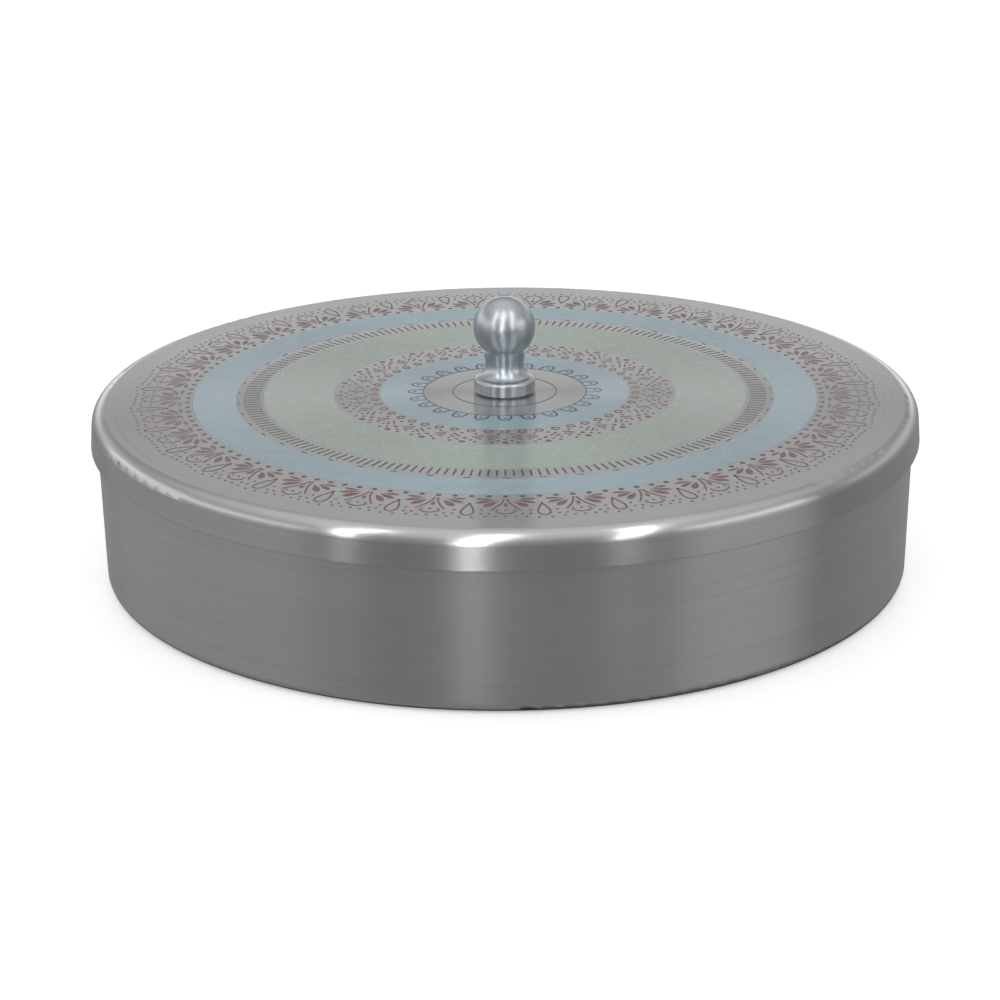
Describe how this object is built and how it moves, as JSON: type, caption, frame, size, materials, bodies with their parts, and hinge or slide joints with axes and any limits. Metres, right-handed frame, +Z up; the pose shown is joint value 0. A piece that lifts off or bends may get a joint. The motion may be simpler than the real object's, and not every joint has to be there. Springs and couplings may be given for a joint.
{
  "type": "spice box",
  "caption": "Round brushed steel spice box with a flat printed lift-off lid, turned ball knob, loose inner cups and a small spoon.",
  "frame": {"origin": "centre of the pan's flat underside", "axes": "+Z up along the axis of the box, through the knob; -Y towards the viewer of the printed lid; the cups stand at 0, 60, 120, 180, 240 and 300 degrees from +X"},
  "size_m": [0.22, 0.22, 0.072],
  "materials": {
    "pan_steel": "satin, brushed around the axis",
    "lid_steel": "satin, brushed, with translucent printed rings on its top",
    "knob_aluminium": "turned and lightly polished",
    "screw_steel": "zinc plated",
    "cup_steel": "satin inside, polished outside",
    "spoon_steel": "polished",
    "print_maroon": "thin satin ink",
    "print_navy": "thin satin ink",
    "print_grey": "thin satin ink",
    "print_blue": "thin translucent ink over the steel",
    "print_green": "thin translucent ink over the steel",
    "print_pale": "thin satin ink"
  },
  "bodies": {
    "box": {"box_body": "pan_steel"},
    "katori_centre_body": {"katori_centre": "cup_steel"},
    "katori_1_body": {"katori_1": "cup_steel"},
    "katori_2_body": {"katori_2": "cup_steel"},
    "katori_3_body": {"katori_3": "cup_steel"},
    "katori_4_body": {"katori_4": "cup_steel"},
    "katori_5_body": {"katori_5": "cup_steel"},
    "katori_6_body": {"katori_6": "cup_steel"},
    "spoon_body": {"spoon": "spoon_steel"},
    "lid": {"lid_shell": "lid_steel", "lid_knob": "knob_aluminium", "knob_screw": "screw_steel", "knob_washer": "screw_steel"}
  },
  "joints": [
    {"name": "katori_lift", "type": "slide", "parent": "box", "child": "katori_centre_body", "axis": [0, 0, 1], "range_m": [0, 0.05]},
    {"name": "katori_1_lift", "type": "slide", "parent": "box", "child": "katori_1_body", "axis": [0, 0, 1], "range_m": [0, 0.05]},
    {"name": "katori_2_lift", "type": "slide", "parent": "box", "child": "katori_2_body", "axis": [0, 0, 1], "range_m": [0, 0.05]},
    {"name": "katori_3_lift", "type": "slide", "parent": "box", "child": "katori_3_body", "axis": [0, 0, 1], "range_m": [0, 0.05]},
    {"name": "katori_4_lift", "type": "slide", "parent": "box", "child": "katori_4_body", "axis": [0, 0, 1], "range_m": [0, 0.05]},
    {"name": "katori_5_lift", "type": "slide", "parent": "box", "child": "katori_5_body", "axis": [0, 0, 1], "range_m": [0, 0.05]},
    {"name": "katori_6_lift", "type": "slide", "parent": "box", "child": "katori_6_body", "axis": [0, 0, 1], "range_m": [0, 0.05]},
    {"name": "spoon_lift", "type": "slide", "parent": "katori_centre_body", "child": "spoon_body", "axis": [0, 0, 1], "range_m": [0, 0.04]},
    {"name": "lid_lift", "type": "slide", "parent": "spoon_body", "child": "lid", "axis": [0, 0, 1], "range_m": [0, 0.08]}
  ],
  "couplings": [
    {"joint": "katori_1_lift", "follows": "katori_lift", "ratio": 1},
    {"joint": "katori_2_lift", "follows": "katori_lift", "ratio": 1},
    {"joint": "katori_3_lift", "follows": "katori_lift", "ratio": 1},
    {"joint": "katori_4_lift", "follows": "katori_lift", "ratio": 1},
    {"joint": "katori_5_lift", "follows": "katori_lift", "ratio": 1},
    {"joint": "katori_6_lift", "follows": "katori_lift", "ratio": 1}
  ]
}
